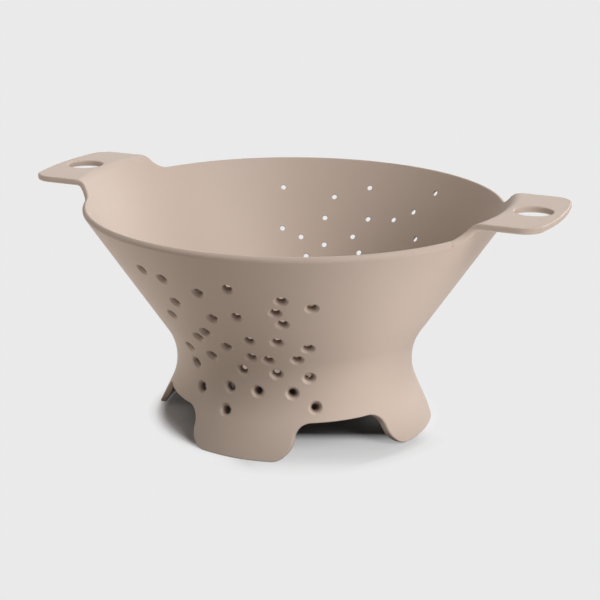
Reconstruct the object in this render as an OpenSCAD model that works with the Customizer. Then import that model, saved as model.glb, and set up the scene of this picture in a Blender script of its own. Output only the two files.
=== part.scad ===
// Footed colander: a conical bowl that narrows to a waist and flares out again
// into a skirt with four feet, with two flat grips on the rim.
// Origin at the middle of the footprint, +Z up, +X towards one grip,
// -Y towards the front field of drain holes.

/* [Bowl] */
// Diameter over the outer edge of the rim
rim_d = 251; // [235:1:270]
// Height of the outer edge of the rim above the table
rim_h = 130; // [124:0.5:131]
// Lean of the bowl wall from the vertical, in degrees
bowl_angle = 33.7; // [30:0.1:36]
// Thickness of the moulded wall, the same in bowl, skirt and grips
wall = 3.6; // [3.2:0.1:4]
// Radius of the two rounded edges of the rim
rim_edge_r = 1.4; // [0.8:0.1:1.4]

/* [Waist and skirt] */
// Height at which the straight lines of bowl and skirt would cross
break_h = 40; // [38:0.5:42]
// Radius of the hollow curve that joins bowl and skirt on the outside
waist_r = 39.5; // [36:0.5:44]
// Lean of the skirt from the vertical, in degrees
skirt_angle = 25.4; // [20:0.1:30]
// Height of the joint between bowl and skirt
seam_h = 41.5; // [41.2:0.1:41.8]

/* [Feet] */
// Width of one foot between its straight sides
foot_w = 62.4; // [50:0.2:70]
// Height of the arches between the feet
arch_h = 20; // [18.5:0.5:21]
// Radius of the rounded lower corners of a foot
foot_corner_r = 10; // [6:0.5:11]
// Radius of the hollow corners where a foot meets the arch
arch_corner_r = 7.5; // [4:0.5:8]

/* [Grips] */
// How far a grip spans out past the edge of the rim
grip_span = 35.25; // [30:0.25:42]
// Height of the flat top of the grips above the edge of the rim
grip_h = 10.3; // [9.5:0.1:13]
// Width of a grip between its straight sides
grip_w = 80; // [64:1:90]
// Radius of the outer corners of a grip, seen from above
grip_corner_r = 12; // [6:0.5:18]
// Radius of the hollow corners where the sides of a grip run into the rim
grip_fillet_r = 10; // [8:0.5:12]
// Inside radius of the bend from the wall into the flat grip
grip_bend_r = 3.5; // [2.5:0.1:4.2]
// How far the root of a grip is let into the wall below the rim edge
grip_root = 8; // [5:0.5:15]
// Diameter of the finger hole in each grip
finger_d = 21.5; // [16:0.5:22.5]
// How much nearer to the bowl a finger hole lies than the middle of its flat
finger_reach = 2.3; // [0:0.1:3.3]

/* [Drain holes] */
// Diameter of a drain hole on the inside
hole_d = 3.2; // [2:0.1:3.6]
// Diameter of the countersink of a drain hole on the outside
sink_d = 7.9; // [5:0.1:8.4]
// Wall that a countersink leaves for the straight part of the hole
hole_land = 0.8; // [0.6:0.1:1.8]
// Height of the lowest place in the fields of drain holes
field_h = 20; // [18.5:0.5:21]
// Height of the plain band between the top of the fields and the edge of the rim
field_span = 10; // [9:0.5:12]

/* [Drain floor] */
// Thickness of the floor
floor_t = 3; // [2.5:0.1:4]
// Thickness of the lip of the floor that bowl and skirt hold between them
floor_lip = 2; // [1.5:0.1:2.1]
// Width of the lip that reaches into the wall
floor_seat = 1.8; // [1.2:0.1:2.1]
// How much lower the middle of the floor lies than its edge
floor_dish = 2.5; // [0:0.1:6]
// Distance between the rings of holes in the floor
ring_pitch = 12; // [10:0.5:14]
// Holes in the innermost ring of the floor; each next ring has as many more
ring_step = 6; // [4:1:6]
// Gap around the floor in its seat
fit_gap = 0.2; // [0.1:0.05:0.3]

/* [Hidden] */
$fn = 96;

// Steps in the arcs of the turned outlines
arc_steps = 16;
// Overrun of every cutting shape past the face it cuts
overrun = 1;

rim_r = rim_d / 2;
foot_half_w = foot_w / 2;
grip_half_w = grip_w / 2;
grip_r = rim_r + grip_span;
grip_top = rim_h + grip_h;
root_half_w = grip_half_w + grip_fillet_r;
root_h = rim_h - grip_root;
field_height = rim_h - field_span - field_h;

// Places of the drain holes: degrees from the middle of the field, then the
// share of the field's height above field_h
front_shares = [
    [-24, 0.905], [-16.5, 0.88], [-5, 0.83], [5, 0.885], [20, 0.825], [29, 0.775],
    [-17, 0.72], [18, 0.74], [5, 0.69], [-4, 0.655], [20, 0.66], [-24, 0.605],
    [-10.5, 0.535], [7, 0.52], [17.5, 0.525], [29, 0.48], [-16, 0.48], [-3.5, 0.45],
    [6, 0.395], [25, 0.395], [13, 0.385], [-27.5, 0.365], [-14, 0.355], [0.5, 0.295],
    [16, 0.29], [30.5, 0.265], [-27.5, 0.26],
    [-7, 0.17], [7, 0.17], [23, 0.17], [-24.5, 0.12], [33.5, 0.085], [-8.5, 0.035]
];
back_shares = [
    [-27.5, 0.975], [-2, 0.94], [28, 0.92], [10, 0.87], [-22, 0.845], [-15, 0.78],
    [-4.5, 0.76], [12.5, 0.745], [-28.5, 0.705], [29, 0.68], [0, 0.65], [21.5, 0.63],
    [11.5, 0.59], [-4.5, 0.565], [19, 0.52],
    [29, 0.48], [-16, 0.48], [6.5, 0.45], [-7, 0.415], [-25, 0.395], [17, 0.385],
    [27.5, 0.36], [-14.5, 0.335], [3, 0.32], [12, 0.27], [-24, 0.27], [-5, 0.26],
    [7, 0.17], [-7, 0.17], [-23, 0.17], [24.5, 0.12], [-33.5, 0.085], [8.5, 0.035]
];
// Turned outline of the wall, seen as [radius, height]. Each function takes
// how deep it lies inside the outer surface.
bowl_out = [cos(bowl_angle), -sin(bowl_angle)];
bowl_up = [sin(bowl_angle), cos(bowl_angle)];
skirt_out = [cos(skirt_angle), sin(skirt_angle)];
rim_edge = [rim_r, rim_h];
crossing = rim_edge - bowl_up * (rim_h - break_h) / cos(bowl_angle);
half_bend = 90 - (bowl_angle + skirt_angle) / 2;
tilt = (skirt_angle - bowl_angle) / 2;
waist_mid = crossing + waist_r / sin(half_bend) * [cos(tilt), sin(tilt)];

function arc(mid, r, from, to) = [
    for (i = [0:arc_steps])
        let (a = from + (to - from) * i / arc_steps)
        mid + r * [cos(a), sin(a)]
];

// Radius of the straight bowl wall and of the straight skirt at a height
function bowl_r(depth, h) =
    let (p = rim_edge - depth * bowl_out) p[0] + (h - p[1]) * tan(bowl_angle);
function skirt_r(depth, h) =
    let (p = crossing - depth * skirt_out) p[0] - (h - p[1]) * tan(skirt_angle);

// Angle around waist_mid at which the waist curve reaches a height
function waist_angle(depth, h) = 180 - asin((h - waist_mid[1]) / (waist_r + depth));
function waist_radius(depth, h) = waist_mid[0] + (waist_r + depth) * cos(waist_angle(depth, h));

// Outer surface at a height: its radius, and how far its face looks up, in degrees
bowl_from_h = waist_mid[1] + waist_r * sin(bowl_angle);
skirt_to_h = waist_mid[1] - waist_r * sin(skirt_angle);
function outer_r(h) =
    h > bowl_from_h ? bowl_r(0, h)
    : h < skirt_to_h ? skirt_r(0, h)
    : waist_radius(0, h);
function outer_look(h) =
    h > bowl_from_h ? -bowl_angle
    : h < skirt_to_h ? skirt_angle
    : asin((waist_mid[1] - h) / waist_r);

// Inner radius of the wall at the joint and where the lip of the floor ends
seam_r = waist_radius(wall, seam_h);
seat_r = seam_r + floor_seat;
seat_h = seam_h + floor_lip + fit_gap;
throat_r = waist_mid[0] - waist_r - wall;

// Rounds two edges of the rim, whose end is square to the wall
rim_round = min(rim_edge_r, wall * 0.45);
rim_end = concat(
    arc(rim_edge - rim_round * (bowl_up + bowl_out), rim_round, -bowl_angle, 90 - bowl_angle),
    arc(rim_edge - rim_round * bowl_up - (wall - rim_round) * bowl_out, rim_round,
        90 - bowl_angle, 180 - bowl_angle)
);

// One drain hole, along +Z, with its countersink opening at the origin
module drain_hole(depth) {
    sink = depth - hole_land;
    slope = (sink_d - hole_d) / sink;
    translate([0, 0, -depth - overrun]) cylinder(d = hole_d, h = depth + 2 * overrun);
    translate([0, 0, -sink]) cylinder(d1 = hole_d, d2 = sink_d + slope * overrun, h = sink + overrun);
}

// A field of drain holes square to the outer surface, for the heights in a band
module hole_field(shares, middle, low, high) {
    for (place = shares) {
        h = field_h + field_height * place[1];
        if (h > low && h < high)
            rotate([0, 0, middle + place[0]])
                translate([outer_r(h), 0, h])
                    rotate([0, 90 - outer_look(h), 0])
                        drain_hole(wall);
    }
}

module both_fields(low, high) {
    hole_field(front_shares, -90, low, high);
    hole_field(back_shares, 90, low, high);
}

// Places in the rim that the roots of the grips fill
module grip_notches() {
    for (side = [0, 180])
        rotate([0, 0, side])
            translate([rim_r / 2, -root_half_w, root_h])
                cube([rim_r, root_half_w * 2, grip_top]);
}

module bowl() {
    color("#B9A597")
    difference() {
        rotate_extrude()
            polygon(concat(
                [[seat_r, seam_h]],
                arc(waist_mid, waist_r, waist_angle(0, seam_h), 180 - bowl_angle),
                rim_end,
                arc(waist_mid, waist_r + wall, 180 - bowl_angle, waist_angle(wall, seat_h)),
                [[seat_r, seat_h]]
            ));
        both_fields(seam_h - sink_d, grip_top);
        grip_notches();
    }
}

// Height of the upper face of the floor at a radius
spigot_r = throat_r - fit_gap;
function floor_top(r) = seam_h + floor_lip - floor_dish * (1 - r / spigot_r);

// As many rings of holes as the floor has room for
rings = floor((spigot_r - sink_d / 2) / ring_pitch);

module drain_floor() {
    lip_r = seat_r - fit_gap;
    color("#AD998B")
    difference() {
        rotate_extrude()
            polygon([
                [0, floor_top(0) - floor_t],
                [spigot_r, floor_top(spigot_r) - floor_t],
                [spigot_r, seam_h],
                [lip_r, seam_h],
                [lip_r, seam_h + floor_lip],
                [spigot_r, floor_top(spigot_r)],
                [0, floor_top(0)]
            ]);
        for (ring = [0:rings])
            let (count = max(1, ring * ring_step), r = ring * ring_pitch)
                for (i = [1:count])
                    rotate([0, 0, 360 * i / count])
                        translate([r, 0, floor_top(r) - floor_t])
                            rotate([180, 0, 0])
                                drain_hole(floor_t);
    }
}

// What lies outside a rounded corner of radius r whose corner is the origin
module spandrel(r) {
    difference() {
        translate([-overrun, -overrun]) square(r + overrun);
        translate([r, r]) circle(r);
    }
}

// Elevation of a pair of opposite feet, as wide as the arches leave them
module foot_outline() {
    difference() {
        translate([-foot_half_w, -overrun]) square([foot_w, arch_h + 2 * overrun]);
        for (side = [0, 1])
            mirror([side, 0])
                translate([foot_half_w, 0])
                    mirror([1, 0])
                        spandrel(foot_corner_r);
    }
    for (side = [0, 1])
        mirror([side, 0])
            translate([foot_half_w, arch_h])
                mirror([0, 1])
                    intersection() {
                        spandrel(arch_corner_r);
                        translate([-overrun, -overrun]) square(arch_corner_r + overrun);
                    }
}

module arches() {
    reach = skirt_r(0, 0) + overrun;
    difference() {
        translate([-reach, -reach, -overrun]) cube([reach * 2, reach * 2, arch_h + overrun]);
        for (turn = [0, 90])
            rotate([90, 0, turn])
                translate([0, 0, -reach - overrun])
                    linear_extrude(2 * (reach + overrun)) foot_outline();
    }
}

module foot_skirt() {
    color("#B3A091")
    difference() {
        rotate_extrude()
            polygon(concat(
                [[skirt_r(wall, 0), 0], [skirt_r(0, 0), 0]],
                arc(waist_mid, waist_r, 180 + skirt_angle, waist_angle(0, seam_h)),
                arc(waist_mid, waist_r + wall, waist_angle(wall, seam_h), 180 + skirt_angle)
            ));
        arches();
        both_fields(0, seam_h + sink_d);
    }
}

// Middle of the bend between the wall and the flat of a grip
bend_h = grip_top - wall - grip_bend_r;
bend_mid = [bowl_r(-grip_bend_r, bend_h), bend_h];

// Turned outline of a grip: root, ear, bend and flat, with a round outer edge
grip_section = concat(
    [[bowl_r(wall, root_h), root_h], [bowl_r(0, root_h), root_h]],
    arc(bend_mid, grip_bend_r, 180 - bowl_angle, 90),
    arc([grip_r - wall / 2, grip_top - wall / 2], wall / 2, -90, 90),
    arc(bend_mid, grip_bend_r + wall, 90, 180 - bowl_angle)
);

// Half outline of the ear of a grip, drawn square to the wall: the curve where
// its side runs into the rim, as [sideways, up along the wall]
ear_side = [
    for (i = [0:arc_steps])
        let (
            a = 90 * i / arc_steps,
            y = root_half_w - grip_fillet_r * sin(a),
            up = grip_fillet_r * (1 - cos(a)),
            p = rim_edge + up * bowl_up
        )
        [y, sqrt(pow(p[0], 2) - pow(y, 2)) * bowl_up[0] + p[1] * bowl_up[1]]
];

module ear_outline() {
    low = root_h * bowl_up[1];
    high = (grip_r + grip_top) * 2;
    half = concat([[root_half_w, low]], ear_side, [[grip_half_w, high]]);
    polygon(concat(half, [for (i = [len(half) - 1:-1:0]) [-half[i][0], half[i][1]]]));
}

// Plan of the flat of a grip, reaching back under the ear
module grip_plan() {
    corner_y = grip_half_w - grip_corner_r;
    corner_r = grip_r - grip_corner_r;
    corner_x = sqrt(pow(corner_r, 2) - pow(corner_y, 2));
    beyond = (grip_corner_r + overrun) * 2;
    difference() {
        union() {
            translate([0, -grip_half_w]) square([grip_r + overrun, grip_w]);
            translate([0, -root_half_w]) square([bend_mid[0], root_half_w * 2]);
        }
        for (side = [0, 1])
            mirror([0, side])
                difference() {
                    polygon([
                        [corner_x, corner_y],
                        [corner_x, corner_y + beyond],
                        [corner_x + beyond, corner_y + beyond],
                        [corner_x, corner_y] * (1 + beyond / corner_r)
                    ]);
                    translate([corner_x, corner_y]) circle(grip_corner_r);
                }
    }
}

module handle() {
    difference() {
        intersection() {
            rotate_extrude() polygon(grip_section);
            translate([0, 0, root_h]) linear_extrude(grip_top) grip_plan();
            rotate([0, bowl_angle, 0]) rotate([90, 0, 90]) linear_extrude(grip_r * 2) ear_outline();
        }
        finger_x = (bend_mid[0] + grip_r) / 2 - finger_reach;
        translate([finger_x, 0, root_h]) cylinder(d = finger_d, h = grip_top);
    }
}

module handle_right() {
    color("#C4B1A3") handle();
}

module handle_left() {
    color("#C4B1A3") rotate([0, 0, 180]) handle();
}

bowl();
drain_floor();
foot_skirt();
handle_right();
handle_left();
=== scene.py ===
# Footed colander in one warm taupe plastic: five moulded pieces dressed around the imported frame.
# Lengths are millimetres until a mesh is written. On the wall, around is the angle about +Z,
# run is the distance along the outer face, up from the seam, and depth is how far inside that face.
import math

import bmesh
import bpy
import numpy as np
from mathutils import Matrix, Vector
from mathutils.geometry import delaunay_2d_cdt


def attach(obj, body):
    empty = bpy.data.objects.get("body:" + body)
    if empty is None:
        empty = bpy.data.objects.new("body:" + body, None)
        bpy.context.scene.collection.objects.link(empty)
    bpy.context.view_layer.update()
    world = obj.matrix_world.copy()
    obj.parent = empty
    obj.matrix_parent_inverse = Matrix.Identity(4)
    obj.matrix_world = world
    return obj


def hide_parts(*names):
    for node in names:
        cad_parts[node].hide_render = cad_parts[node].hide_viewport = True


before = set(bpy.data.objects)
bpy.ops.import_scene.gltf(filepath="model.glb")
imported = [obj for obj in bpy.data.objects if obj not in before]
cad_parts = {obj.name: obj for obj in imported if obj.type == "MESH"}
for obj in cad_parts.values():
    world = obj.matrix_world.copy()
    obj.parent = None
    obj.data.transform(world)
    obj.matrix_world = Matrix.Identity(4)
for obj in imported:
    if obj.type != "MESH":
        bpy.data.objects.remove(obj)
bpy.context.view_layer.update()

metre = 0.001  # one millimetre in metres
quarterTurn = math.pi / 2

wall = {
    "rimRadius": 125.5,
    "rimHeight": 130.0,
    "bowlLean": math.radians(33.7),
    "thickness": 3.6,
    "breakHeight": 40.0,  # where the straight lines of bowl and skirt would cross
    "waistRadius": 39.5,
    "skirtLean": math.radians(25.4),
    "seamHeight": 41.5,
    "gripReach": 160.75,
    "gripTop": 140.3,
    "bendRadius": 3.5,  # of the hollow side of the bend into a grip
    "rootHalfWidth": 50.0,  # half the width of the notch in the rim that a grip fills
    "rootHeight": 122.0,
    "lipOuter": 2.3,  # rounding of the rim towards the outer face, which runs on into the grips
    "lipInner": 1.1,  # and towards the inner face
    "lipSteps": 8,
    "meshStep": 1.9,  # distance between the points that fill a face
    "clearShare": 0.6,  # how many steps those points stay away from every edge
    "ringPoints": 480,  # points round a whole ring
    "arcPoints": 180,  # points along the rim between two grips
    "notchSidePoints": 7,
    "notchFootPoints": 56,
}


def unit(turn):
    # (cos, sin) of an angle, stacked on the last axis
    return np.stack([np.cos(turn), np.sin(turn)], axis=-1)


def wallMarks():
    # Where the outline changes: a straight cone and a straight skirt touch one waist circle,
    # and above the rim a bend circle touches the cone and the flat of the grips
    lean, skirt, waist, bend = wall["bowlLean"], wall["skirtLean"], wall["waistRadius"], wall["bendRadius"]
    up = np.array([math.sin(lean), math.cos(lean)])
    out = np.array([math.cos(lean), -math.sin(lean)])
    rim = np.array([wall["rimRadius"], wall["rimHeight"]])
    crossing = rim - up * (rim[1] - wall["breakHeight"]) / math.cos(lean)
    halfBend = quarterTurn - (lean + skirt) / 2
    waistMid = crossing + waist / math.sin(halfBend) * unit((skirt - lean) / 2)
    seamTurn = math.pi - math.asin((wall["seamHeight"] - waistMid[1]) / waist)
    coneTurn, skirtTurn = math.pi - lean, math.pi + skirt
    coneFoot = waistMid + waist * unit(coneTurn)
    coneRun = waist * (seamTurn - coneTurn)
    bendHeight = wall["gripTop"] - wall["thickness"] - bend
    edge = rim + bend * out
    bendMid = np.array([edge[0] + (bendHeight - edge[1]) * math.tan(lean), bendHeight])
    bendRun = coneRun + (bendMid + bend * unit(coneTurn) - coneFoot) @ up
    return {
        "up": up, "rim": rim, "waistMid": waistMid, "bendMid": bendMid,
        "seamTurn": seamTurn, "coneTurn": coneTurn, "coneRun": coneRun,
        "skirtRun": waist * (seamTurn - skirtTurn),
        "rimRun": coneRun + (rim - coneFoot) @ up,
        "bendRun": bendRun,
        "flatRun": bendRun + bend * (coneTurn - quarterTurn),
    }


marks = wallMarks()


def wallLine(run):
    # Outer outline as [radius, height] with its outward normal and curvature: a circle point plus
    # the tangent times what the run passes the circle's ends, for the waist or for the bend
    run = np.asarray(run, float)
    high = run > marks["rimRun"]
    clamped = np.where(high, np.clip(run, marks["bendRun"], marks["flatRun"]),
                       np.clip(run, marks["skirtRun"], marks["coneRun"]))
    radius = np.where(high, wall["bendRadius"], wall["waistRadius"])
    start = np.where(high, marks["bendRun"], 0.0)
    turn = np.where(high, marks["coneTurn"], marks["seamTurn"]) - (clamped - start) / radius
    mid = np.where(high[..., None], marks["bendMid"], marks["waistMid"])
    tangent = np.stack([np.sin(turn), -np.cos(turn)], axis=-1)
    point = mid + radius[..., None] * unit(turn) + (run - clamped)[..., None] * tangent
    return point, -unit(turn), np.where(run == clamped, 1 / radius, 0.0)


def wallRadius(run, depth):
    # Radius of the face that lies depth inside: outline radius less depth times the normal's share
    point, normal, _ = wallLine(run)
    return point[..., 0] - depth * normal[..., 0]


def wallPoint(around, run, depth):
    # Outline point less depth times its normal, turned round +Z
    point, normal, _ = wallLine(run)
    radius = point[..., 0] - depth * normal[..., 0]
    height = point[..., 1] - depth * normal[..., 1]
    return np.stack(np.broadcast_arrays(radius * np.cos(around), radius * np.sin(around), height), axis=-1)


def wallNormal(around, run):
    # Outline normal turned round +Z
    _, normal, _ = wallLine(run)
    return np.stack([normal[..., 0] * np.cos(around), normal[..., 0] * np.sin(around),
                     normal[..., 1]], axis=-1)


def runAtHeight(height, depth):
    # Run at which the face at a depth has a height, below the rim: from the waist circle widened by
    # the depth, or along the straight lines past its ends
    mid, waist = marks["waistMid"], wall["waistRadius"]
    height = np.asarray(height, float)
    turn = math.pi - np.arcsin(np.clip((height - mid[1]) / (waist + depth), -1, 1))
    run = waist * (marks["seamTurn"] - turn)
    endRun = np.clip(run, marks["skirtRun"], marks["coneRun"])
    point, normal, _ = wallLine(endRun)
    rise = height - (point[..., 1] - depth * normal[..., 1])
    return np.where(run == endRun, run, endRun + rise / normal[..., 0])


def sideAround(halfWidth, run, depth):
    # Angle at which the face is halfWidth away from the X axis
    return np.arcsin(halfWidth / wallRadius(run, depth))


def stepInward(edge, depth, closed):
    # One millimetre square to an edge, within the face, as (around, run): normal cross tangent,
    # split along the two directions of the face
    around, run = edge[:, 0], edge[:, 1]
    point = wallPoint(around, run, depth)
    if closed:
        tangent = np.roll(point, -1, axis=0) - np.roll(point, 1, axis=0)
    else:
        tangent = np.gradient(point, axis=0)
    across = np.cross(wallNormal(around, run), tangent)
    across /= np.linalg.norm(across, axis=1, keepdims=True)
    _, normal, bend = wallLine(run)
    sideways = np.stack([-np.sin(around), np.cos(around), np.zeros_like(around)], axis=1)
    along = np.stack([-normal[:, 1] * np.cos(around), -normal[:, 1] * np.sin(around), normal[:, 0]], axis=1)
    return np.stack([(across * sideways).sum(1) / wallRadius(run, depth),
                     (across * along).sum(1) / (1 + bend * depth)], axis=1)


def lipProfile(outerRadius, innerRadius):
    # Two quarter circles, as how far each row lies in from the edge and below the outer face; the
    # radii may change from point to point along the edge
    turn = np.linspace(0, quarterTurn, wall["lipSteps"])[:, None]
    inset, sink = 1 - np.sin(turn), 1 - np.cos(turn)
    return (np.concatenate([outerRadius * inset, innerRadius * inset[::-1]]),
            np.concatenate([outerRadius * sink, wall["thickness"] - innerRadius * sink[::-1]]))


def lipRows(outerEdge, innerEdge, closed, outerRadius, innerRadius):
    # Rows across a rounded edge, from the outer face to the inner one: the edge at the row's depth
    # plus the inward step times the row's inset
    thickness, steps = wall["thickness"], wall["lipSteps"]
    inset, depth = lipProfile(outerRadius, innerRadius)
    outerStep = stepInward(outerEdge, 0.0, closed)
    innerStep = stepInward(innerEdge, thickness, closed)
    step = np.where((np.arange(2 * steps) < steps)[:, None, None], outerStep, innerStep)
    rows = outerEdge + (innerEdge - outerEdge) * (depth / thickness)[..., None]
    return rows + step * inset[..., None], depth


def gridFaces(rows, columns, closed):
    # Four-sided faces between neighbouring rows and columns of a grid of points
    row = np.arange(rows - 1)[:, None] * columns
    column = np.arange(columns if closed else columns - 1)[None, :]
    beside = (column + 1) % columns
    faces = np.stack([row + column, row + beside, row + columns + beside, row + columns + column], axis=-1)
    return faces.reshape(-1, 4)


meshing = {
    "batch": 2000,  # lattice points that are tested at once
    "reach": 1e-7,  # distance at which the triangulation takes two points for one
    "level": 1e-9,  # stands in for the height of a level segment, which no ray crosses
    "perMillimetre": 1000,  # cells in which points count as equal, and how far their grid is shifted
    "shift": 0.37,
}


def fillLattice(low, high, step):
    # Points of a lattice of equal triangles between two corners
    rowStep = step * math.sqrt(3) / 2
    x, y = np.meshgrid(np.arange(low[0], high[0] + step, step), np.arange(low[1], high[1] + rowStep, rowStep))
    x[1::2] += step / 2
    return np.stack([x.ravel(), y.ravel()], axis=1)


def withinLoop(points, loop):
    # Even-odd rule: a point is inside where a ray to the right crosses the loop an odd number of times
    x1, y1 = loop.T
    x2, y2 = np.roll(loop, -1, axis=0).T
    px, py = points[:, :1], points[:, 1:]
    spans = (y1 > py) != (y2 > py)
    crossing = (x2 - x1) * (py - y1) / np.where(y2 == y1, meshing["level"], y2 - y1) + x1
    return (spans & (px < crossing)).sum(1) % 2 == 1


def fillFace(loops, lattice, clearance):
    # Delaunay triangles between closed loops, the first one outside, with the lattice points that
    # keep clear of every loop; triangles with all corners on one loop are kept only inside the first
    fixed = np.vstack(loops)
    kept = []
    for part in np.array_split(lattice, max(1, len(lattice) // meshing["batch"])):
        gap = ((part[:, None, :] - fixed[None, :, :]) ** 2).sum(2).min(1)
        inside = withinLoop(part, loops[0]) & (gap > clearance ** 2)
        for loop in loops[1:]:
            inside[inside] = ~withinLoop(part[inside], loop)
        kept.append(part[inside])
    points = np.vstack([fixed] + kept)
    starts = np.cumsum([0] + [len(loop) for loop in loops])
    edges = [np.stack([start + np.arange(len(loop)), start + (np.arange(len(loop)) + 1) % len(loop)], axis=1)
             for start, loop in zip(starts, loops)]
    made = delaunay_2d_cdt(points.tolist(), np.vstack(edges).tolist(), [], 1, meshing["reach"])
    faces = np.array(made[2])
    source = np.array([ids[0] for ids in made[3]])
    faces = source[faces]
    loopOf = np.full(len(points), -1)
    for number, start in enumerate(starts[:-1]):
        loopOf[start:starts[number + 1]] = number
    owner = loopOf[faces]
    single = (owner[:, 0] == owner[:, 1]) & (owner[:, 1] == owner[:, 2]) & (owner[:, 0] >= 0)
    keep = ~single
    rest = np.flatnonzero(single & (owner[:, 0] == 0))
    keep[rest] = withinLoop(points[faces[rest]].mean(1), loops[0])
    return points, faces[keep]


def closeShell(name, patches):
    # Joins patches of points and faces into one closed mesh: equal points become one, faces turn
    # outwards, points with a known normal keep it, and a point attribute carries the painted shade:
    # how deep in a hole a point lies, from 0 to 1
    points = np.vstack([p["points"] for p in patches])
    normals = np.vstack([p.get("normals", np.zeros_like(p["points"])) for p in patches])
    shift = np.cumsum([0] + [len(p["points"]) for p in patches])
    key = np.round(points * meshing["perMillimetre"] + meshing["shift"]).astype(np.int64)
    _, first, link = np.unique(key, axis=0, return_index=True, return_inverse=True)
    link = link.ravel()
    # share of painted shade at each point
    paintedShade = np.concatenate([p.get("paintedShade", np.zeros(len(p["points"]))) for p in patches])[first]
    faces, smooth = [], []
    for patch, start in zip(patches, shift):
        for block in patch["faces"]:
            linked = link[np.asarray(block) + start]
            whole = (linked != np.roll(linked, 1, axis=1)).all(1)
            faces += linked[whole].tolist()
            smooth += [not patch.get("flat", False)] * int(whole.sum())
    mesh = bpy.data.meshes.new(name)
    mesh.from_pydata((points[first] * metre).tolist(), [], faces)
    mesh.polygons.foreach_set("use_smooth", smooth)
    work = bmesh.new()
    work.from_mesh(mesh)
    bmesh.ops.recalc_face_normals(work, faces=work.faces)
    openEdges = sum(not edge.is_manifold for edge in work.edges)
    volume = work.calc_volume()
    work.to_mesh(mesh)
    work.free()
    mesh.normals_split_custom_set_from_vertices(normals[first].tolist())
    mesh.attributes.new("paintedShade", "FLOAT", "POINT").data.foreach_set("value", paintedShade.astype(np.float32))
    piece = bpy.data.objects.new(name, mesh)
    bpy.context.scene.collection.objects.link(piece)
    print(f"{name}: {len(mesh.vertices)} points, {len(mesh.polygons)} faces, {openEdges} open edges,"
          f" {volume * 1e6:.1f} cm3")
    return piece


def dress(piece, node, material):
    # Gives a piece its material and its place in the frame under the body root, and hides the part of the
    # node it stands for
    piece.data.materials.append(material)
    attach(piece, "root")
    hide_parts(node)


# Drain holes: degrees from the middle of a field, then the share of the field's height
drainHoles = {
    "lowest": 20.0,
    "band": 10.0,  # plain band between the top of a field and the rim
    "throatRadius": 1.6,
    "throatLip": 0.35,  # rounding where a hole comes out inside
    "throatLipSteps": 4,
    # Countersink from the mouth down, as [radius, share of its depth]: a soft edge, then a steep funnel
    "funnel": [(4.4, 0.0), (4.2, 0.012), (4.0, 0.04), (3.75, 0.09), (3.5, 0.155), (3.2, 0.25), (2.9, 0.365),
               (2.5, 0.535), (2.1, 0.71), (1.86, 0.88), (1.7, 0.965), (1.6, 1.0)],
    "land": 0.45,  # what is left of the wall below the countersink
    "points": 40,  # points round a hole in the wall
    "front": [
        (-24, .905), (-16.5, .88), (-5, .83), (5, .885), (20, .825), (29, .775), (-17, .72), (18, .74),
        (5, .69), (-4, .655), (20, .66), (-24, .605), (-10.5, .535), (7, .52), (17.5, .525), (29, .48),
        (-16, .48), (-3.5, .45), (6, .395), (25, .395), (13, .385), (-27.5, .365), (-14, .355), (.5, .295),
        (16, .29), (30.5, .265), (-27.5, .26), (-7, .17), (7, .17), (23, .17), (-24.5, .12), (33.5, .085),
        (-8.5, .035)],
    "back": [
        (-27.5, .975), (-2, .94), (28, .92), (10, .87), (-22, .845), (-15, .78), (-4.5, .76), (12.5, .745),
        (-28.5, .705), (29, .68), (0, .65), (21.5, .63), (11.5, .59), (-4.5, .565), (19, .52), (29, .48),
        (-16, .48), (6.5, .45), (-7, .415), (-25, .395), (17, .385), (27.5, .36), (-14.5, .335), (3, .32),
        (12, .27), (-24, .27), (-5, .26), (7, .17), (-7, .17), (-23, .17), (24.5, .12), (-33.5, .085),
        (8.5, .035)],
}


def fieldPlaces(low, high):
    # Angle and run of the holes whose heights lie between two heights, in both fields
    reach = wall["rimHeight"] - drainHoles["band"] - drainHoles["lowest"]
    front, back = np.array(drainHoles["front"]), np.array(drainHoles["back"])
    turns = np.radians(np.concatenate([front[:, 0] - 90, back[:, 0] + 90]))
    heights = drainHoles["lowest"] + reach * np.concatenate([front[:, 1], back[:, 1]])
    chosen = (heights > low) & (heights < high)
    return np.stack([turns[chosen], runAtHeight(heights[chosen], 0.0)], axis=1)


def holeProfile(thickness):
    # Radius and depth down a hole: the funnel, the straight land, and a quarter circle on the way out
    holes = drainHoles
    funnel = np.array(holes["funnel"]) * np.array([1.0, thickness - holes["land"]])
    turn = np.linspace(0, quarterTurn, holes["throatLipSteps"])
    out = holes["throatLip"]
    end = np.stack([holes["throatRadius"] + out * (1 - np.cos(turn)),
                    thickness - out * (1 - np.sin(turn))], axis=1)
    return np.concatenate([funnel, end])


def paintedShadeByDepth(profile):
    # Share of painted shade down a hole: rises evenly with the depth to 1 at the foot of the funnel
    # and falls to 0 at the inner face
    depth, funnelFoot = profile[:, 1], profile[len(drainHoles["funnel"]) - 1, 1]
    return np.minimum(depth / funnelFoot, (depth[-1] - depth) / (depth[-1] - funnelFoot))


def drillHoles(places, profile):
    # Rings of points down every hole: its place plus radius times (cos, sin), at the ring's depth
    count = drainHoles["points"]
    turn = np.linspace(0, 2 * math.pi, count, endpoint=False)
    radius, depth = profile[None, :, :1], profile[None, :, 1:]
    around, run = places[:, 0, None, None], places[:, 1, None, None]
    _, _, bend = wallLine(run)
    coords = np.stack(np.broadcast_arrays(
        around + radius * np.cos(turn) / wallRadius(run, depth),
        run + radius * np.sin(turn) / (1 + bend * depth)), axis=-1)
    points = wallPoint(coords[..., 0], coords[..., 1], depth)
    size = len(profile) * count
    faces = (gridFaces(len(profile), count, True)[None] + np.arange(len(places))[:, None, None] * size)
    return coords, {"points": points.reshape(-1, 3), "faces": [faces.reshape(-1, 4)],
                    # painted shade share of every ring down the holes
                    "paintedShade": np.tile(np.repeat(paintedShadeByDepth(profile), count), len(places))}


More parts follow.
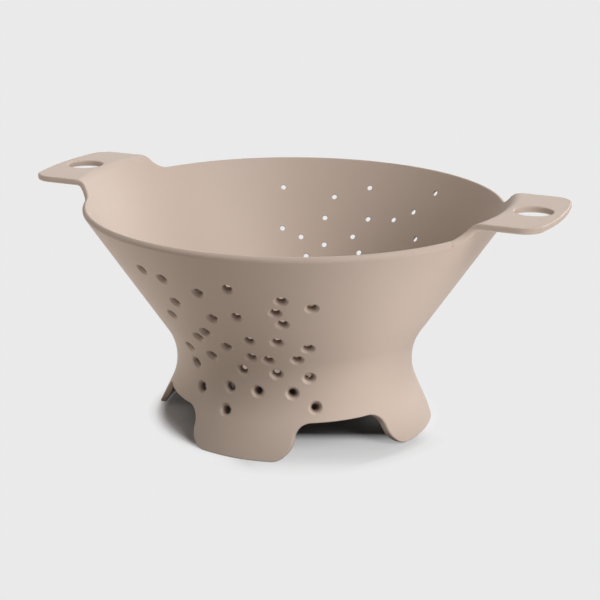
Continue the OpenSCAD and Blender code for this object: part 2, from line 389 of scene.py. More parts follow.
def wallFace(coords, faces, depth, outward):
    # A filled face of the wall, with the wall's own normals
    return {
        "points": wallPoint(coords[:, 0], coords[:, 1], depth),
        "normals": wallNormal(coords[:, 0], coords[:, 1]) * outward,
        "faces": [faces],
    }


def spread(coords, direction):
    # Wall coordinates laid out flat as a disc: the seam is its inner edge
    radius = wallRadius(0.0, 0.0) + direction * coords[..., 1]
    return radius[..., None] * unit(coords[..., 0])


def gather(flat, direction):
    # The way back from the disc to wall coordinates
    return np.stack([np.arctan2(flat[:, 1], flat[:, 0]),
                     (np.hypot(flat[:, 0], flat[:, 1]) - wallRadius(0.0, 0.0)) * direction], axis=1)


def fillWall(loops, depth, direction, outward):
    # Fills the wall between loops on the flat disc, then carries the points back to the wall
    flatLoops = [spread(loop, direction) for loop in loops]
    reach = np.abs(flatLoops[0]).max()
    lattice = fillLattice((-reach, -reach), (reach, reach), wall["meshStep"])
    points, faces = fillFace(flatLoops, lattice, wall["clearShare"] * wall["meshStep"])
    coords = gather(points, direction)
    fixed = np.vstack(loops)
    coords[:len(fixed)] = fixed
    return wallFace(coords, faces, depth, outward)


def notchPath(depth):
    # Down one side of a grip's root, along its foot and up the other side
    rootRun = runAtHeight(wall["rootHeight"], depth)
    lip = wall["lipOuter"] if depth == 0 else wall["lipInner"]
    side = np.linspace(marks["rimRun"] - lip, rootRun, wall["notchSidePoints"])
    turn = sideAround(wall["rootHalfWidth"], side, depth)
    base = np.linspace(-turn[-1], turn[-1], wall["notchFootPoints"])[1:-1]
    return np.concatenate([
        np.stack([-turn, side], axis=1),
        np.stack([base, np.full_like(base, rootRun)], axis=1),
        np.stack([turn[::-1], side[::-1]], axis=1)])


def contactStrip(outerPath, innerPath):
    # Flat faces between the outer and the inner path of a cut through the wall
    points = np.concatenate([wallPoint(outerPath[:, 0], outerPath[:, 1], 0.0),
                             wallPoint(innerPath[:, 0], innerPath[:, 1], wall["thickness"])])
    return {"points": points, "faces": [gridFaces(2, len(outerPath), False)], "flat": True}


def endCaps(points):
    # One many-sided face over each end of a lip
    rows, columns = points.shape[:2]
    ends = np.arange(rows) * columns
    faces = [ends[None], ends[None, ::-1] + columns - 1]
    return {"points": points.reshape(-1, 3), "faces": faces, "flat": True}


def turned(coords, turn):
    # Wall coordinates with an angle added to the first of the two
    return coords + np.array([turn, 0.0])


bowlShape = {
    "seatRadius": 69.73,  # where the lip of the floor ends inside the wall
    "seatHeight": 43.7,
}


def makeBowl():
    # Perforated cone: outer and inner face, a rounded rim in two arcs between the notches for the
    # grips, drain holes, and the stepped joint that holds the floor
    thickness = wall["thickness"]
    inset, depth = lipProfile(wall["lipOuter"], wall["lipInner"])
    rimRun = marks["rimRun"] - inset
    start = sideAround(wall["rootHalfWidth"], rimRun, depth)
    share = np.linspace(0, 1, wall["arcPoints"])
    arc = start + (math.pi - 2 * start) * share
    rim = np.stack([arc, np.broadcast_to(rimRun, arc.shape)], axis=-1)
    places = fieldPlaces(wall["seamHeight"], wall["gripTop"])
    rings, holes = drillHoles(places, holeProfile(thickness))

    ring = np.linspace(0, 2 * math.pi, wall["ringPoints"], endpoint=False)
    seatRun = float(runAtHeight(bowlShape["seatHeight"], thickness))
    seam = np.stack([ring, np.zeros_like(ring)], axis=1)
    seat = np.stack([ring, np.full_like(ring, seatRun)], axis=1)

    def edgeLoop(row, depthHere):  # notch and rim of one side, then the same half a turn on
        half = np.concatenate([notchPath(depthHere)[:-1], rim[row][:-1]])
        return np.concatenate([half, turned(half, math.pi)])

    outer = fillWall([edgeLoop(0, 0.0), seam] + list(rings[:, 0]), 0.0, 1, 1)
    inner = fillWall([edgeLoop(-1, thickness), seat] + list(rings[:, -1]), thickness, 1, -1)
    patches = [outer, inner, holes]
    for turn in (0.0, math.pi):
        lip = wallPoint(rim[..., 0] + turn, rim[..., 1], depth)
        patches.append({"points": lip.reshape(-1, 3), "faces": [gridFaces(*lip.shape[:2], False)]})
        patches.append(endCaps(lip))
        patches.append(contactStrip(turned(notchPath(0.0), turn), turned(notchPath(thickness), turn)))
    joint = np.stack([
        wallPoint(ring, 0.0, 0.0),
        np.stack([bowlShape["seatRadius"] * np.cos(ring), bowlShape["seatRadius"] * np.sin(ring),
                  np.full_like(ring, wall["seamHeight"])], axis=1),
        np.stack([bowlShape["seatRadius"] * np.cos(ring), bowlShape["seatRadius"] * np.sin(ring),
                  np.full_like(ring, bowlShape["seatHeight"])], axis=1),
        wallPoint(ring, seatRun, thickness)])
    patches.append({"points": joint.reshape(-1, 3), "faces": [gridFaces(4, len(ring), True)], "flat": True})
    return closeShell("bowlShell", patches)


foot = {
    "halfWidth": 31.2,
    "archHeight": 20.0,
    "cornerRadius": 10.0,
    "archRadius": 7.5,
    "edgeRadius": 0.8,
    "count": 4,
    "basePoints": 16,  # points along half a sole, and round a corner, a hollow corner and an arch
    "cornerPoints": 15,
    "hollowPoints": 13,
    "archPoints": 18,
}


def footOutline():
    # Right half of one foot's elevation as (sideways, height), from the middle of its base to the
    # arch: base, quarter circle, straight side, hollow quarter circle
    half, low, high, top = foot["halfWidth"], foot["cornerRadius"], foot["archRadius"], foot["archHeight"]
    sole = np.linspace(0, half - low, foot["basePoints"])
    base = np.stack([sole, np.zeros_like(sole)], axis=1)
    corner = np.array([half - low, low]) + low * unit(np.linspace(-quarterTurn, 0, foot["cornerPoints"]))
    hollowTurn = np.linspace(math.pi, quarterTurn, foot["hollowPoints"])
    hollow = np.array([half + high, top - high]) + high * unit(hollowTurn)
    return np.concatenate([base[:-1], corner, hollow])


def footEdge(depth):
    # Free lower edge of the skirt on the face at a depth: the elevation of each foot pushed
    # straight in, and the level top of the arches between the feet
    outline = footOutline()
    run = runAtHeight(outline[:, 1], depth)
    turn = sideAround(outline[:, 0], run, depth)
    quarter = 2 * math.pi / foot["count"]
    between = np.linspace(turn[-1], quarter - turn[-1], foot["archPoints"])[1:-1]
    right = np.stack([turn, run], axis=1)
    arch = np.stack([between, np.full_like(between, run[-1])], axis=1)
    left = np.stack([quarter - turn[::-1], run[::-1]], axis=1)
    one = np.concatenate([right, arch, left[:-1]])
    return np.concatenate([turned(one, quarter * number) for number in range(foot["count"])])


def makeSkirt():
    # Flaring skirt with four feet: outer and inner face, a rounded edge round feet and arches,
    # drain holes, and the level face under the bowl
    thickness = wall["thickness"]
    edge, depth = lipRows(footEdge(0.0), footEdge(thickness), True, foot["edgeRadius"], foot["edgeRadius"])
    places = fieldPlaces(0, wall["seamHeight"])
    rings, holes = drillHoles(places, holeProfile(thickness))
    ring = np.linspace(0, 2 * math.pi, wall["ringPoints"], endpoint=False)
    seam = np.stack([ring, np.zeros_like(ring)], axis=1)
    inside = np.stack([ring, np.full_like(ring, float(runAtHeight(wall["seamHeight"], thickness)))], axis=1)
    outer = fillWall([edge[0], seam] + list(rings[:, 0]), 0.0, -1, 1)
    inner = fillWall([edge[-1], inside] + list(rings[:, -1]), thickness, -1, -1)
    lip = wallPoint(edge[..., 0], edge[..., 1], depth)
    top = np.stack([wallPoint(ring, 0.0, 0.0), wallPoint(ring, inside[:, 1], thickness)])
    return closeShell("footSkirtShell", [
        outer, inner, holes,
        {"points": lip.reshape(-1, 3), "faces": [gridFaces(*lip.shape[:2], True)]},
        {"points": top.reshape(-1, 3), "faces": [gridFaces(2, len(ring), True)], "flat": True}])


grip = {
    "halfWidth": 40.0,
    "cornerRadius": 12.0,
    "filletRadius": 10.0,
    "fingerRadius": 10.75,
    "fingerPlace": 144.0,
    "fingerEdge": 1.0,
    "fingerPaintedShade": 0.45,  # share of the holes' painted shade that the finger hole's wall takes
    "edgeOuter": 1.2,  # rounding of the free edge below and above
    "edgeInner": 1.0,
    "layRadius": 175.0,  # radius of the start of the flat in the layout that is filled
    "bendStretch": 7.0,  # how much finer the bend is filled than the rest
    "meshStep": 1.7,
    "clearShare": 0.55,
    "fingerPoints": 72,
    "filletPoints": 25,  # points along a fillet, a straight side, a corner and half the round end
    "sidePoints": 14,
    "cornerPoints": 15,
    "endPoints": 18,
    "solveRounds": 20,  # rounds, probe in millimetres and share of each step that place the fillet
    "solveProbe": 0.01,
    "solveShare": 0.8,
}


def flatRunAt(x, y):
    # Run of a place on the flat of a grip: its distance from the axis past the bend
    return marks["flatRun"] + np.hypot(x, y) - marks["bendMid"][0]


def gripEdge(depth):
    # Free edge of a grip on the face at a depth, from one end of its root round the flat to the other:
    # a hollow quarter circle square to the wall, a straight side, a corner circle and the round end
    fillet, half, corner = grip["filletRadius"], grip["halfWidth"], grip["cornerRadius"]
    reach = wall["gripReach"]
    turn = np.linspace(0, quarterTurn, grip["filletPoints"])
    sideways = half + fillet * (1 - np.sin(turn))
    rise = fillet * (1 - np.cos(turn))
    onWall = marks["rim"] + rise[:, None] * marks["up"]
    target = np.sqrt(onWall[:, 0] ** 2 - sideways ** 2) * marks["up"][0] + onWall[:, 1] * marks["up"][1]
    run = marks["rimRun"] + rise

    def short(at):  # how far the face lies short of the target, measured up along the wall
        point = wallPoint(sideAround(sideways, at, depth), at, depth)
        return target - point[:, 0] * marks["up"][0] - point[:, 2] * marks["up"][1]

    for _ in range(grip["solveRounds"]):
        slope = (short(run) - short(run + grip["solveProbe"])) / grip["solveProbe"]
        run = run + grip["solveShare"] * short(run) / slope
    run = run + (marks["rimRun"] - run[0]) * np.cos(turn)
    cornerY = half - corner
    cornerX = math.sqrt((reach - corner) ** 2 - cornerY ** 2)
    sideRun = np.linspace(run[-1], flatRunAt(cornerX, half), grip["sidePoints"])[1:-1]
    cornerTurn = np.linspace(quarterTurn, math.atan2(cornerY, cornerX), grip["cornerPoints"])
    cornerArc = np.array([cornerX, cornerY]) + corner * unit(cornerTurn)
    tip = np.linspace(cornerTurn[-1], 0, grip["endPoints"])[1:]
    oneSide = np.concatenate([
        np.stack([sideAround(sideways, run, depth), run], axis=1),
        np.stack([sideAround(half, sideRun, depth), sideRun], axis=1),
        np.stack([np.arctan2(cornerArc[:, 1], cornerArc[:, 0]),
                  flatRunAt(cornerArc[:, 0], cornerArc[:, 1])], axis=1),
        np.stack([tip, np.full_like(tip, flatRunAt(reach, 0.0))], axis=1)])
    otherSide = oneSide[-2::-1] * np.array([-1.0, 1.0])
    return np.concatenate([oneSide, otherSide])


def makeGrip(name, turn):
    # Ear and flat of one grip: underside and upper skin, a rounded edge, a finger hole with rounded
    # edges, and the faces that its root holds against the bowl
    thickness = wall["thickness"]
    outerEdge = gripEdge(0.0)
    away = np.clip((outerEdge[:, 1] - marks["rimRun"]) / grip["filletRadius"], 0, 1)
    outerRadius = wall["lipOuter"] + (grip["edgeOuter"] - wall["lipOuter"]) * away
    innerRadius = wall["lipInner"] + (grip["edgeInner"] - wall["lipInner"]) * away
    edge, depth = lipRows(outerEdge, gripEdge(thickness), False, outerRadius, innerRadius)
    inset, rootDepth = (part[:, 0] for part in lipProfile(wall["lipOuter"], wall["lipInner"]))
    rootRun = marks["rimRun"] - inset
    rootTurn = sideAround(wall["rootHalfWidth"], rootRun, rootDepth)
    edge[:, 0] = np.stack([rootTurn, rootRun], axis=1)
    edge[:, -1] = np.stack([-rootTurn, rootRun], axis=1)

    fingerInset, fingerDepth = lipProfile(grip["fingerEdge"], grip["fingerEdge"])
    ring = np.linspace(0, 2 * math.pi, grip["fingerPoints"], endpoint=False)
    radius = grip["fingerRadius"] + fingerInset
    x, y = grip["fingerPlace"] + radius * np.cos(ring), radius * np.sin(ring)
    finger = np.stack([np.arctan2(y, x), flatRunAt(x, y)], axis=-1)

    bendLength, stretch = marks["flatRun"] - marks["bendRun"], grip["bendStretch"]

    def lay(coords):  # flat ring sector: radius from the run, with the bend stretched
        bendPart = np.clip(coords[:, 1] - marks["flatRun"], -bendLength, 0)
        radius = grip["layRadius"] + coords[:, 1] - marks["flatRun"] + (stretch - 1) * bendPart
        return radius[:, None] * unit(coords[:, 0])

    def lift(flat):  # the way back
        past = np.hypot(flat[:, 0], flat[:, 1]) - grip["layRadius"]
        bendPart = np.clip(past / stretch, -bendLength, 0)
        return np.stack([np.arctan2(flat[:, 1], flat[:, 0]),
                         marks["flatRun"] + past - (stretch - 1) * bendPart], axis=1)

    def face(depthHere, row, outward):  # filled in the layout, then put back with its edges exact
        loops = [np.concatenate([notchPath(depthHere)[:-1], edge[row][:-1]]), finger[row]]
        flatLoops = [lay(loop) for loop in loops]
        low, high = flatLoops[0].min(0), flatLoops[0].max(0)
        lattice = fillLattice(low, high, grip["meshStep"])
        points, faces = fillFace(flatLoops, lattice, grip["clearShare"] * grip["meshStep"])
        coords = lift(points)
        fixed = np.vstack(loops)
        coords[:len(fixed)] = fixed
        return wallFace(turned(coords, turn), faces, depthHere, outward)

    lip = wallPoint(edge[..., 0] + turn, edge[..., 1], depth)
    hole = wallPoint(finger[..., 0] + turn, finger[..., 1], fingerDepth)
    # painted shade on the finger hole's wall, deepest half way through
    holePaintedShade = grip["fingerPaintedShade"] * np.sin(math.pi * fingerDepth / thickness)
    return closeShell(name, [
        face(0.0, 0, 1), face(thickness, -1, -1),
        {"points": lip.reshape(-1, 3), "faces": [gridFaces(*lip.shape[:2], False)]},
        {"points": hole.reshape(-1, 3), "faces": [gridFaces(*hole.shape[:2], True)],
         "paintedShade": np.broadcast_to(holePaintedShade, hole.shape[:2]).ravel()},
        endCaps(lip),
        contactStrip(turned(notchPath(0.0), turn), turned(notchPath(thickness), turn))])


floorPlate = {
    "thickness": 3.0,
    "dish": 2.5,  # how much lower the middle lies than the edge
    "spigotRadius": 67.46,
    "lipRadius": 69.53,
    "lipThickness": 2.0,
    "ringPitch": 12.0,
    "ringStep": 6,
    "meshStep": 2.2,
    "clearShare": 0.55,
    "faceRadius": 66.0,
    "lipEdge": 0.3,  # narrow slopes along the edges of the lip
    "spigotEdge": 0.4,  # and round the underside
    "holePoints": 28,
    "edgePoints": 360,
}


def floorPoint(x, y, below):
    # Shallow cone: its height falls evenly from the edge to the middle, less how far below it lies
    shape = floorPlate
    rim = wall["seamHeight"] + shape["lipThickness"]
    height = rim - shape["dish"] * (1 - np.hypot(x, y) / shape["spigotRadius"]) - below
    return np.stack(np.broadcast_arrays(x, y, height), axis=-1)


def makeFloor():
    # Perforated plate: two faces filled between its edge and rings of holes, funnel-shaped holes that
    # widen downwards, and an edge profile carried round
    shape = floorPlate
    thickness = shape["thickness"]
    rings = int((shape["spigotRadius"] - drainHoles["funnel"][0][0]) / shape["ringPitch"])
    counts = [max(1, shape["ringStep"] * number) for number in range(rings + 1)]
    middles = np.concatenate([
        shape["ringPitch"] * number * unit(2 * math.pi * np.arange(1, count + 1) / count)
        for number, count in enumerate(counts)])
    profile = holeProfile(thickness)
    below = thickness - profile[:, 1]
    turn = np.linspace(0, 2 * math.pi, shape["holePoints"], endpoint=False)
    x = middles[:, 0, None, None] + profile[None, :, :1] * np.cos(turn)
    y = middles[:, 1, None, None] + profile[None, :, :1] * np.sin(turn)
    holes = floorPoint(x, y, below[None, :, None])
    size = len(profile) * len(turn)
    holeFaces = gridFaces(len(profile), len(turn), True)[None] + np.arange(len(middles))[:, None, None] * size

    around = np.linspace(0, 2 * math.pi, shape["edgePoints"], endpoint=False)
    edge = shape["faceRadius"] * unit(around)
    lattice = fillLattice(edge.min(0), edge.max(0), shape["meshStep"])

    def face(row, depthHere):  # plan filled between edge and holes, then dished at that depth
        loops = [edge] + [ring[:, :2] for ring in holes[:, row]]
        points, faces = fillFace(loops, lattice, shape["clearShare"] * shape["meshStep"])
        return {"points": floorPoint(points[:, 0], points[:, 1], depthHere), "faces": [faces]}

    rimTop = wall["seamHeight"] + shape["lipThickness"]
    spigot, lipEnd, low = shape["spigotRadius"], shape["lipRadius"], wall["seamHeight"]
    underEdge = float(floorPoint(spigot, 0.0, thickness)[2])
    slope, underSlope = shape["lipEdge"], shape["spigotEdge"]
    section = np.array([
        [shape["faceRadius"], float(floorPoint(shape["faceRadius"], 0.0, 0.0)[2])],
        [spigot, rimTop], [lipEnd - slope, rimTop], [lipEnd, rimTop - slope], [lipEnd, low + slope],
        [lipEnd - slope, low], [spigot, low], [spigot, underEdge + underSlope],
        [spigot - underSlope, underEdge],
        [shape["faceRadius"], float(floorPoint(shape["faceRadius"], 0.0, thickness)[2])]])
    side = np.stack([section[:, :1] * np.cos(around), section[:, :1] * np.sin(around),
                     np.broadcast_to(section[:, 1:], (len(section), len(around)))], axis=-1)
    return closeShell("drainFloorPlate", [
        face(-1, 0.0), face(0, thickness),
        {"points": holes.reshape(-1, 3), "faces": [holeFaces.reshape(-1, 4)],
         # painted shade share of every ring down the floor's holes
         "paintedShade": np.tile(np.repeat(paintedShadeByDepth(profile), len(turn)), len(middles))},
        {"points": side.reshape(-1, 3), "faces": [gridFaces(len(section), len(around), True)], "flat": True}])


plastic = {
    "colour": (0.392, 0.315, 0.260),
    "roughness": 0.55,
    "specular": 0.25,
    "glossScale": 320.0,  # per metre, fine changes of gloss
    "glossDetail": 4,
    "glossSpan": 0.05,
    "grainScale": 2600.0,  # the fine texture of the mould
    "grainDetail": 2,
    "grainDepth": 0.00002,
    "grainStrength": 0.35,
    "cloudScale": 14.0,  # slow changes of tint
    "cloudDetail": 3,
    "cloudShare": 0.03,
    "paintedShadeTone": (0.36, 0.29, 0.25),  # painted shade: share of the colour left at the bottom of a hole
    "paintedShadeStart": 0.18,  # depth share in a hole at which the painted shade begins
    "paintedShadeEnd": 0.85,  # and where it is full
}


def plasticMaterial(name):
    # Satin plastic: a slow noise moves the tint, a fine noise the gloss, a grain gives the bump, and
    # the colour is darkened down the holes as painted shade
    p = plastic
    material = bpy.data.materials.new(name)
    material.use_nodes = True
    tree = material.node_tree
    nodes, links = tree.nodes, tree.links
    shader = nodes["Principled BSDF"]
    place = nodes.new("ShaderNodeTexCoord")

    def noise(scale, detail):  # fractal noise at the piece's own coordinates
        node = nodes.new("ShaderNodeTexNoise")
        node.inputs["Scale"].default_value = scale
        node.inputs["Detail"].default_value = detail
        links.new(place.outputs["Object"], node.inputs["Vector"])
        return node

    clouds = noise(p["cloudScale"], p["cloudDetail"])
    mix = nodes.new("ShaderNodeMix")
    mix.data_type = "RGBA"
    base = np.array(p["colour"])
    mix.inputs[6].default_value = (*(base * (1 - p["cloudShare"])), 1)
    mix.inputs[7].default_value = (*(base * (1 + p["cloudShare"])), 1)
    links.new(clouds.outputs["Fac"], mix.inputs[0])

    # painted shade: a point attribute says how deep in a hole a point lies
    paintedShade = nodes.new("ShaderNodeAttribute")
    paintedShade.attribute_name = "paintedShade"
    paintedShadeStep = nodes.new("ShaderNodeMapRange")
    paintedShadeStep.interpolation_type = "SMOOTHSTEP"
    paintedShadeStep.inputs["From Min"].default_value = p["paintedShadeStart"]
    paintedShadeStep.inputs["From Max"].default_value = p["paintedShadeEnd"]
    links.new(paintedShade.outputs["Fac"], paintedShadeStep.inputs["Value"])
    # painted shade: the colour is multiplied towards a darker tone down the holes
    hollow = nodes.new("ShaderNodeMix")
    hollow.data_type, hollow.blend_type = "RGBA", "MULTIPLY"
    hollow.inputs[7].default_value = (*p["paintedShadeTone"], 1)
    links.new(paintedShadeStep.outputs["Result"], hollow.inputs[0])
    links.new(mix.outputs[2], hollow.inputs[6])
    links.new(hollow.outputs[2], shader.inputs["Base Color"])

    gloss = noise(p["glossScale"], p["glossDetail"])
    span = nodes.new("ShaderNodeMapRange")
    span.inputs["To Min"].default_value = p["roughness"] - p["glossSpan"]
    span.inputs["To Max"].default_value = p["roughness"] + p["glossSpan"]
    links.new(gloss.outputs["Fac"], span.inputs["Value"])
    links.new(span.outputs["Result"], shader.inputs["Roughness"])

    grain = noise(p["grainScale"], p["grainDetail"])
    bump = nodes.new("ShaderNodeBump")
    bump.inputs["Strength"].default_value = p["grainStrength"]
    bump.inputs["Distance"].default_value = p["grainDepth"]
    links.new(grain.outputs["Fac"], bump.inputs["Height"])
    links.new(bump.outputs["Normal"], shader.inputs["Normal"])
    shader.inputs["Specular IOR Level"].default_value = p["specular"]
    return material


studio = {
    "backdrop": 0.823,  # pale grey that the camera sees as floor and backdrop
    "groundColour": (0.220, 0.200, 0.184),  # of the ground as it bounces light
    "groundReach": 12.0,  # metres from the middle to each side of the ground
    "cardHeight": 0.002,
    "world": 0.05,
    "lightSide": -70,  # degrees about +Z from the camera's right, where the shading fades slowly
    "lightSpan": (0.62, 0.86),  # cosines from that direction between which the fades change
    "fadeReach": 110.0,  # millimetres that the fades are given for
    # Share of the backdrop colour in the seen ground at millimetres from the middle: on the dark
    # side, on the light side, and on the light side by how far forward a place lies; these shares
    # paint how the ground's shadow fades out, as painted shade
    "darkFade": [(79, 0.0), (82, 0.28), (86, 0.80), (90, 1.0)],
    "lightFade": [(80, 0.0), (87, 0.45), (94, 0.85), (102, 1.0)],
    "front": -90,
    "frontFade": [(40, 0.0), (51, 0.42), (66, 0.53), (74, 0.57), (82, 0.68), (91, 0.87), (102, 1.0)],
    "paintedSideColours": (0.80, 0.36),  # painted shade: colour of the seen ground under its own shading, differing between the dark and light side
    "paintedMiddleShade": 0.14,  # painted shade: a darker colour under the middle
    "paintedMiddleSpan": (0.036, 0.074),  # radii between which it changes
    "warm": (1.05, 0.985, 0.93),  # tint of the lamps that lift the darker sides
    "plain": (1.0, 1.0, 1.02),
    "suns": [  # where light comes from: degrees about +Z from the camera's right, and degrees up
        {"name": "keyRight", "around": -25, "up": 25, "spread": 35, "strength": 0.41, "tint": "plain"},
        {"name": "frontRight", "around": -40, "up": 40, "spread": 35, "strength": 3.15, "tint": "plain"},
        {"name": "left", "around": 180, "up": 8, "spread": 35, "strength": 1.00, "tint": "warm"},
        {"name": "behind", "around": 90, "up": 35, "spread": 35, "strength": 0.57, "tint": "plain"},
        {"name": "behindRight", "around": 45, "up": 20, "spread": 35, "strength": 1.41, "tint": "plain"},
        {"name": "top", "around": 0, "up": 90, "spread": 35, "strength": 0.54, "tint": "warm"},
    ],
    "cards": [  # square lights that lie on the ground and face up
        {"name": "cardRight", "around": -50, "reach": 0.24, "side": 0.20, "power": 0.43, "tint": "plain"},
        {"name": "cardFront", "around": -90, "reach": 0.24, "side": 0.20, "power": 0.063, "tint": "warm"},
        {"name": "cardLeft", "around": -170, "reach": 0.24, "side": 0.20, "power": 0.277, "tint": "warm"},
    ],
}
camera = {
    "place": (0.34631, -0.77914, 0.33837),
    "forward": (-0.38426, 0.87303, -0.30027),
    "right": (0.91464, 0.40423, 0.00483),
    "lens": 88.92,
    "sensor": 36.0,
    "near": 0.01,
    "far": 100.0,
}


def makeCamera():
    # Looks along forward, with right as its X axis
    data = bpy.data.cameras.new("photoCamera")
    data.lens, data.sensor_width = camera["lens"], camera["sensor"]
    data.clip_start, data.clip_end = camera["near"], camera["far"]
    right, back = Vector(camera["right"]), -Vector(camera["forward"])
    up = back.cross(right)
    obj = bpy.data.objects.new("photoCamera", data)
    obj.matrix_world = Matrix.Translation(camera["place"]) @ Matrix((right, up, back)).transposed().to_4x4()
    bpy.context.scene.collection.objects.link(obj)
    bpy.context.scene.camera = obj


def lampTurn(lamp):
    # Angle about +Z of a lamp given from the camera's right
    return math.atan2(camera["right"][1], camera["right"][0]) + math.radians(lamp["around"])


def makeSun(lamp):
    # A far lamp that shines from its direction on everything alike
    turn, rise = lampTurn(lamp), math.radians(lamp["up"])
    source = Vector((math.cos(rise) * math.cos(turn), math.cos(rise) * math.sin(turn), math.sin(rise)))
    data = bpy.data.lights.new(lamp["name"], "SUN")
    data.energy, data.color = lamp["strength"], studio[lamp["tint"]]
    data.angle = math.radians(lamp["spread"])
    obj = bpy.data.objects.new(lamp["name"], data)
    obj.rotation_mode = "QUATERNION"
    obj.rotation_quaternion = source.to_track_quat("Z", "Y")
    bpy.context.scene.collection.objects.link(obj)


def makeCard(lamp):
    # A square of light just over the ground, turned up, that lifts the undersides
    data = bpy.data.lights.new(lamp["name"], "AREA")
    data.shape, data.size, data.energy = "SQUARE", lamp["side"], lamp["power"]
    data.color = studio[lamp["tint"]]
    obj = bpy.data.objects.new(lamp["name"], data)
    turn = lampTurn(lamp)
    obj.location = (lamp["reach"] * math.cos(turn), lamp["reach"] * math.sin(turn), studio["cardHeight"])
    obj.rotation_euler = (math.pi, 0, 0)
    obj.visible_camera = obj.visible_glossy = False
    bpy.context.scene.collection.objects.link(obj)


def mixBySight(tree, lighting, seen):
    # Mixes two shaders: seen by camera, glossy and clear rays, the other one by all that lights
    path = tree.nodes.new("ShaderNodeLightPath")
    total = path.outputs["Is Camera Ray"]
    for kind in ("Is Glossy Ray", "Is Transmission Ray"):
        either = tree.nodes.new("ShaderNodeMath")
        either.operation = "MAXIMUM"
        tree.links.new(total, either.inputs[0])
        tree.links.new(path.outputs[kind], either.inputs[1])
        total = either.outputs[0]
    mix = tree.nodes.new("ShaderNodeMixShader")
    tree.links.new(total, mix.inputs[0])
    tree.links.new(lighting.outputs[0], mix.inputs[1])
    tree.links.new(seen.outputs[0], mix.inputs[2])
    return mix


def makeWorld():
    # Faint even light, seen as the pale backdrop
    world = bpy.data.worlds.new("studioWorld")
    world.use_nodes = True
    tree = world.node_tree
    tree.nodes.clear()
    light = tree.nodes.new("ShaderNodeBackground")
    light.inputs["Strength"].default_value = studio["world"]
    seen = tree.nodes.new("ShaderNodeBackground")
    seen.inputs["Color"].default_value = (studio["backdrop"],) * 3 + (1,)
    output = tree.nodes.new("ShaderNodeOutputWorld")
    tree.links.new(mixBySight(tree, light, seen).outputs[0], output.inputs["Surface"])
    bpy.context.scene.world = world


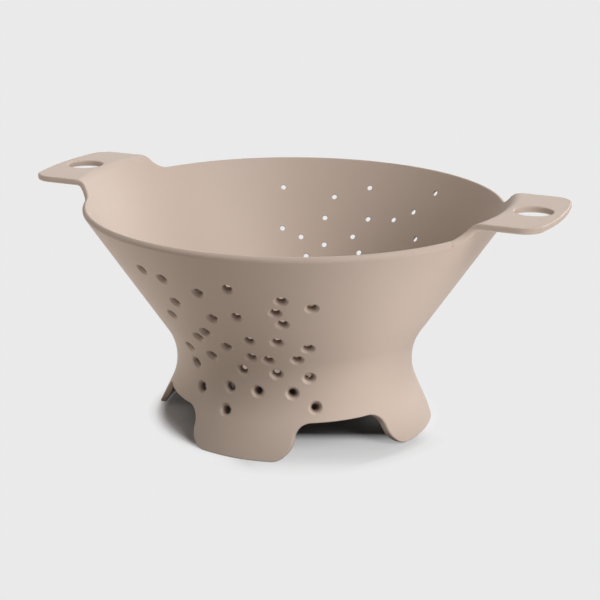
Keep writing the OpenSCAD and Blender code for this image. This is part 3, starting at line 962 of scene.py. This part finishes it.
def makeGround():
    # Pale ground that bounces light; seen, it turns from its own shading under the feet to the
    # backdrop colour outside them, by the distance from the middle and by direction; its seen colour
    # is painted shade too, darker under the middle and differing between the dark and light side,
    # and the fall-off of its shadow is painted by fade shares
    material = bpy.data.materials.new("studioGround")
    material.use_nodes = True
    tree = material.node_tree
    tree.nodes.clear()
    plain = tree.nodes.new("ShaderNodeBsdfDiffuse")
    plain.inputs["Color"].default_value = (*studio["groundColour"], 1)
    pale = tree.nodes.new("ShaderNodeEmission")
    pale.inputs["Color"].default_value = (studio["backdrop"],) * 3 + (1,)
    shaded = tree.nodes.new("ShaderNodeBsdfDiffuse")
    place = tree.nodes.new("ShaderNodeTexCoord").outputs["Object"]
    fadeReach = studio["fadeReach"]

    def vectorMath(operation, source, around=None):  # with a level direction where one is needed
        node = tree.nodes.new("ShaderNodeVectorMath")
        node.operation = operation
        tree.links.new(source, node.inputs[0])
        if around is not None:
            turn = lampTurn({"around": around})
            node.inputs[1].default_value = (math.cos(turn), math.sin(turn), 0)
        return node.outputs["Vector" if operation == "NORMALIZE" else "Value"]

    def plainMath(operation, first, second):  # each value a number or another node's result
        node = tree.nodes.new("ShaderNodeMath")
        node.operation = operation
        for socket, value in zip(node.inputs, (first, second)):
            if isinstance(value, float):
                socket.default_value = value
            else:
                tree.links.new(value, socket)
        return node.outputs["Value"]

    def mapRange(source, low, high, toLow=0.0, toHigh=1.0):  # smooth step from toLow to toHigh
        node = tree.nodes.new("ShaderNodeMapRange")
        node.interpolation_type = "SMOOTHSTEP"
        for socket, value in (("Value", source), ("From Min", low), ("From Max", high),
                              ("To Min", toLow), ("To Max", toHigh)):
            if isinstance(value, float):
                node.inputs[socket].default_value = value
            else:
                tree.links.new(value, node.inputs[socket])
        return node.outputs["Result"]

    def rampOf(source, stops):  # straight lines between stops of millimetres and share
        node = tree.nodes.new("ShaderNodeValToRGB")
        stopList = node.color_ramp.elements
        for _ in stops[2:]:
            stopList.new(0.5)  # placed below
        for stop, (radius, share) in zip(stopList, stops):
            stop.position, stop.color = radius / fadeReach, (share, share, share, 1)
        tree.links.new(plainMath("MULTIPLY", source, 1 / (metre * fadeReach)), node.inputs["Fac"])
        return node.outputs["Color"]

    distance = vectorMath("LENGTH", place)
    cosine = vectorMath("DOT_PRODUCT", vectorMath("NORMALIZE", place), studio["lightSide"])
    forward = vectorMath("DOT_PRODUCT", place, studio["front"])

    def bySide(dark, light):  # from one value to the other towards the light side
        return mapRange(cosine, *studio["lightSpan"], dark, light)

    # painted shade: these shares fade the ground's shadow out by distance and side
    around = bySide(rampOf(distance, studio["darkFade"]), rampOf(distance, studio["lightFade"]))
    fade = plainMath("MAXIMUM", around, bySide(0.0, rampOf(forward, studio["frontFade"])))
    # painted shade: the seen ground's colour is darker under the middle and differs by side
    tree.links.new(mapRange(distance, *studio["paintedMiddleSpan"], studio["paintedMiddleShade"],
                            bySide(*studio["paintedSideColours"])), shaded.inputs["Color"])
    seen = tree.nodes.new("ShaderNodeMixShader")
    tree.links.new(fade, seen.inputs[0])
    tree.links.new(shaded.outputs[0], seen.inputs[1])
    tree.links.new(pale.outputs[0], seen.inputs[2])
    output = tree.nodes.new("ShaderNodeOutputMaterial")
    tree.links.new(mixBySight(tree, plain, seen).outputs[0], output.inputs["Surface"])
    reach = studio["groundReach"]
    mesh = bpy.data.meshes.new("studioGround")
    mesh.from_pydata([(-reach, -reach, 0), (reach, -reach, 0), (reach, reach, 0), (-reach, reach, 0)], [],
                     [(0, 1, 2, 3)])
    mesh.materials.append(material)
    ground = bpy.data.objects.new("studioGround", mesh)
    bpy.context.scene.collection.objects.link(ground)


def makeStudio():
    # Backdrop, ground and every lamp of the studio dictionary
    makeWorld()
    makeGround()
    for lamp in studio["suns"]:
        makeSun(lamp)
    for lamp in studio["cards"]:
        makeCard(lamp)
    bpy.context.scene.view_settings.view_transform = "Standard"


makeCamera()
makeStudio()
print("studio: camera, floor and lamps")

dress(makeBowl(), "bowl", plasticMaterial("bowlTaupe"))
dress(makeSkirt(), "foot_skirt", plasticMaterial("skirtTaupe"))
dress(makeFloor(), "drain_floor", plasticMaterial("floorTaupe"))
gripTaupe = plasticMaterial("gripTaupe")
dress(makeGrip("gripRight", 0.0), "handle_right", gripTaupe)
dress(makeGrip("gripLeft", math.pi), "handle_left", gripTaupe)
